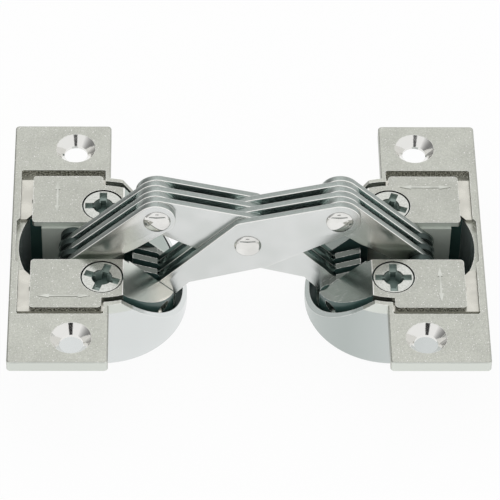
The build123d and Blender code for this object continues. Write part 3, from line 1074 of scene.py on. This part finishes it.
def arrow_tree():
    """The two raised double arrows of a carrier, one across the joint and one along it."""
    tree, given = new_tree("double_arrows", [*arrow_sizes, "Half Turn"])
    thick = plus(tree, given["Height"], given["Sink"])
    middle = product(tree, minus(tree, given["Height"], given["Sink"]), 0.5)
    level = plus(tree, middle, given["Deck"])
    arrows = []
    for axis, turn in (("X", 0.0), ("Y", pi / 2)):
        arrow = double_arrow(tree, given, given["Length " + axis], thick)
        spot = point(tree, given["Arrow " + axis + " X"], given["Arrow " + axis + " Y"], level)
        arrows.append(moved(tree, arrow, spot, (0.0, 0.0, turn)))
    return close_tree(tree, turned(tree, joined(tree, arrows), given["Half Turn"]), given["Finish"])


# Pieces
def settle(piece):
    """Keeps what the piece's modifiers make as its plain mesh."""
    bpy.context.view_layer.update()
    evaluated = piece.evaluated_get(bpy.context.evaluated_depsgraph_get())
    mesh = bpy.data.meshes.new_from_object(evaluated)
    piece.modifiers.clear()
    piece.data = mesh
    mesh.name = piece.name


def tidy_mesh(mesh):
    """Merges doubled points, joins facets that lie in one plane, and points the faces outwards."""
    shape = bmesh.new()
    shape.from_mesh(mesh)
    bmesh.ops.remove_doubles(shape, verts=shape.verts, dist=merge_distance)
    bmesh.ops.dissolve_limit(shape, angle_limit=flat_angle, verts=shape.verts, edges=shape.edges)
    bmesh.ops.recalc_face_normals(shape, faces=shape.faces)
    shape.to_mesh(mesh)
    shape.free()


def smooth(piece, least_angle):
    """Smooth shading, broken at edges sharper than the angle."""
    piece.data.shade_smooth()
    piece.data.set_sharp_from_angle(angle=least_angle)


def round_edges(piece, width, least_angle):
    """Rounds the sharp edges of a piece and keeps its flat faces flat in shading."""
    piece.data.shade_smooth()
    bevel = piece.modifiers.new("edge_round", "BEVEL")
    bevel.width = width
    bevel.segments = 2
    bevel.limit_method = "ANGLE"
    bevel.angle_limit = least_angle
    bevel.harden_normals = True
    settle(piece)


def grow(name, tree, sizes, finish):
    """Runs a tree with its sizes and keeps the result as a piece with a plain mesh."""
    piece = bpy.data.objects.new(name, bpy.data.meshes.new(name))
    bpy.context.scene.collection.objects.link(piece)
    modifier = piece.modifiers.new(name, "NODES")
    modifier.node_group = tree
    for item in tree.interface.items_tree:
        if item.in_out == "INPUT":
            modifier[item.identifier] = finish if item.name == "Finish" else sizes[item.name]
    settle(piece)
    tidy_mesh(piece.data)
    return piece


def add_piece(piece, slot, body, *replaced):
    """Lets a finished piece ride on its body and stand for CAD nodes."""
    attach(piece, body)
    if replaced:
        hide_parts(*replaced)


def add_links():
    """The link plates of the four link bodies. A cross link has the name of the half its rivet is in."""
    cross_tree, short_tree = cross_link_tree(), short_link_tree()
    for side, other in (("left", "right"), ("right", "left")):
        for tree, sizes, name in (
            (cross_tree, cross_link_sizes, other + "_cross_link"),
            (short_tree, short_link_sizes, side + "_short_link"),
        ):
            pack = grow(name + "_plates", tree, {**sizes, "Half Turn": side_turn[side]}, finishes["link"])
            smooth(pack, plate_edge_angle)
            add_piece(pack, "link_steel", name + "s", *[name + "_" + place for place in places])


def add_rivets():
    """The three rivets of the links."""
    tree = rivet_tree()
    for name, x, rise in (
        ("left_rivet", rivet_pivot[0], rivet_pivot[1]),
        ("centre_rivet", centre_pivot[0], centre_pivot[1]),
        ("right_rivet", -rivet_pivot[0], rivet_pivot[1]),
    ):
        sizes = {**rivet_sizes, "Pivot X": x, "Pivot Z": deck + rise}
        rivet = grow(name + "_domed", tree, sizes, finishes["rivet"])
        smooth(rivet, rivet_edge_angle)
        add_piece(rivet, "rivet_steel", body_of[name], name)


def add_screws():
    """The four adjusting screws, each with its stud off centre."""
    tree = screw_tree()
    for side, sign in side_sign.items():
        for kind, y, turn, stud in (
            ("height", screw_y, 0.0, height_stud),
            ("side", -screw_y, side_screw_turn, side_stud),
        ):
            name = side + "_" + kind + "_screw"
            sizes = {
                **screw_sizes,
                "Centre X": -screw_x * sign,
                "Centre Y": y * sign,
                "Turn": turn + side_turn[side],
                "Stud X": stud[0] * sign,
                "Stud Y": stud[1] * sign,
            }
            screw = grow(name + "_recessed", tree, sizes, finishes["screw"])
            round_edges(screw, screw_edge_round, screw_edge_angle)
            add_piece(screw, "screw_steel", body_of[name], name)


def add_arrows():
    """The raised double arrows on the tabs."""
    tree = arrow_tree()
    for side, turn in side_turn.items():
        arrows = grow(side + "_arrows", tree, {**arrow_sizes, "Half Turn": turn}, finishes["arrows"])
        add_piece(arrows, "carrier_zinc", body_of[side + "_carrier"])


add_links()
add_rivets()
add_screws()
add_arrows()


# Floor, world, lamp and cards
def toward(azimuth, elevation):
    """The direction of an azimuth and an elevation in degrees. Azimuth 0 is in front of the hinge."""
    a, e = radians(azimuth), radians(elevation)
    return Vector((sin(a) * cos(e), -cos(a) * cos(e), sin(e)))


def add_mesh(name, points, faces, material):
    """A plain mesh object in the scene."""
    mesh = bpy.data.meshes.new(name)
    mesh.from_pydata(points, [], faces)
    mesh.materials.append(material)
    piece = bpy.data.objects.new(name, mesh)
    bpy.context.scene.collection.objects.link(piece)
    return piece


def matt(tree, shade):
    """A matt grey shader."""
    shader = tree.nodes.new("ShaderNodeBsdfPrincipled")
    shader.inputs["Base Color"].default_value = (shade, shade, shade, 1)
    shader.inputs["Roughness"].default_value = 0.9
    return shader


def glow(tree, colour):
    """Light of one colour, which is a socket or three numbers."""
    shader = tree.nodes.new("ShaderNodeEmission")
    fill(tree, shader.inputs["Color"], colour)
    return shader.outputs["Emission"]


def shader_mix(tree, factor, first, second):
    """A shader between two others."""
    node = tree.nodes.new("ShaderNodeMixShader")
    for socket, value in zip(node.inputs, (factor, first, second)):
        tree.links.new(value, socket)
    return node.outputs["Shader"]


def pale_floor():
    """A floor that shows white to the camera and in the metal, and keeps a soft shadow."""
    material, tree, surface = empty_material("pale_floor")
    paint = matt(tree, floor_shade)
    paint.inputs["Specular IOR Level"].default_value = 0.1
    path = tree.nodes.new("ShaderNodeLightPath").outputs
    seen = maths(tree, "MAXIMUM", path["Is Camera Ray"], path["Is Glossy Ray"])
    seen = maths(tree, "MAXIMUM", seen, path["Is Transmission Ray"])
    whiteness = product(tree, seen, floor_whiteness)
    tree.links.new(shader_mix(tree, whiteness, paint.outputs["BSDF"], glow(tree, (1, 1, 1))), surface)
    half = floor_half
    corners = [(-half, -half, 0), (half, -half, 0), (half, half, 0), (-half, half, 0)]
    add_mesh("floor", corners, [(0, 1, 2, 3)], material)


def plain_world():
    """White surroundings."""
    world = bpy.data.worlds.new("studio")
    world.use_nodes = True
    background = world.node_tree.nodes["Background"]
    background.inputs["Color"].default_value = (1, 1, 1, 1)
    background.inputs["Strength"].default_value = world_strength
    bpy.context.scene.world = world


def soft_lamp(name, azimuth, elevation, distance, width, power):
    """A square lamp that faces the hinge, from an azimuth and elevation."""
    lamp = bpy.data.lights.new(name, "AREA")
    lamp.shape = "SQUARE"
    lamp.size = width
    lamp.energy = power
    holder = bpy.data.objects.new(name, lamp)
    bpy.context.scene.collection.objects.link(holder)
    back = toward(azimuth, elevation)
    holder.location = back * distance
    holder.rotation_euler = (-back).to_track_quat("-Z", "Y").to_euler()


def card(name, rows, material):
    """A card through rows of points, which only the metal sees."""
    columns = len(rows[0])
    faces = [
        (start + k, start + k + 1, start + columns + k + 1, start + columns + k)
        for start in range(0, columns * (len(rows) - 1), columns)
        for k in range(columns - 1)
    ]
    piece = add_mesh(name, [spot for row in rows for spot in row], faces, material)
    piece.visible_camera = False
    piece.visible_diffuse = False
    piece.visible_shadow = False
    piece.visible_transmission = False


def dark_flag(name, azimuth, width, low, high):
    """A small black card, as is set up beside shiny goods. Angles are in degrees."""
    material, tree, surface = empty_material(name)
    tree.links.new(matt(tree, dark_flag_shade).outputs["BSDF"], surface)
    sides = (azimuth - width / 2, azimuth + width / 2)
    card(name, [[toward(a, e) * card_distance for a in sides] for e in (low, high)], material)


def soft_flag(name, azimuth, elevation, reach, shade):
    """A grey card that is densest in one direction and fades out to clear within its reach."""
    material, tree, surface = empty_material(name)
    place = tree.nodes.new("ShaderNodeTexCoord").outputs
    nearness = likeness(tree, place["Object"], toward(azimuth, elevation) / card_distance)
    density = spread(tree, nearness, cos(radians(reach)), 1.0)
    clear = tree.nodes.new("ShaderNodeBsdfTransparent").outputs["BSDF"]
    tree.links.new(shader_mix(tree, density, clear, glow(tree, (shade, shade, shade))), surface)
    half = soft_flag_columns // 2
    azimuths = [azimuth + reach * k / half for k in range(-half, half + 1)]
    elevations = range(0, elevation + reach + 1, soft_flag_row_angle)
    card(name, [[toward(a, e) * card_distance for a in azimuths] for e in elevations], material)


def dark_horizon(radius, height, half_angle):
    """A low curved wall behind the camera that only the metal sees: dark low down, fading to white."""
    material, tree, surface = empty_material("dark_horizon")
    z = parts_of(tree, tree.nodes.new("ShaderNodeTexCoord").outputs["Object"])["Z"]
    fade = spread(tree, z, 0.2 * height, height)
    tree.links.new(glow(tree, blend(tree, fade, horizon_dark, horizon_light)), surface)
    angles = [half_angle * (2 * k / (horizon_columns - 1) - 1) for k in range(horizon_columns)]
    rows = [[(radius * sin(a), -radius * cos(a), level) for a in angles] for level in (0.0, height)]
    card("dark_horizon", rows, material)


def photo_camera():
    """The camera of the photograph, rolled a little about its own axis."""
    a, roll = radians(photo_azimuth), radians(photo_roll)
    back = toward(photo_azimuth, photo_elevation)
    right = Vector((cos(a), sin(a), 0))
    up = back.cross(right)
    turned_right = right * cos(roll) - up * sin(roll)
    turned_up = right * sin(roll) + up * cos(roll)
    data = bpy.data.cameras.new("photo_camera")
    data.sensor_width = 36
    data.lens = photo_lens
    data.clip_start = 0.05
    data.clip_end = 20
    camera = bpy.data.objects.new("photo_camera", data)
    camera.matrix_world = Matrix((turned_right, turned_up, back)).transposed().to_4x4()
    camera.location = photo_target + back * photo_distance
    bpy.context.scene.collection.objects.link(camera)
    bpy.context.scene.camera = camera


pale_floor()
plain_world()
soft_lamp("overhead_lamp", azimuth=188, elevation=60, distance=0.8, width=0.6, power=0.42)
dark_flag("camera_flag", azimuth=-2, width=24, low=30, high=40.5)
soft_flag("side_flag", azimuth=-110, elevation=12, reach=54, shade=0.22)
dark_horizon(radius=1.2, height=0.24, half_angle=radians(45))
photo_camera()
bpy.context.scene.view_settings.view_transform = "Standard"
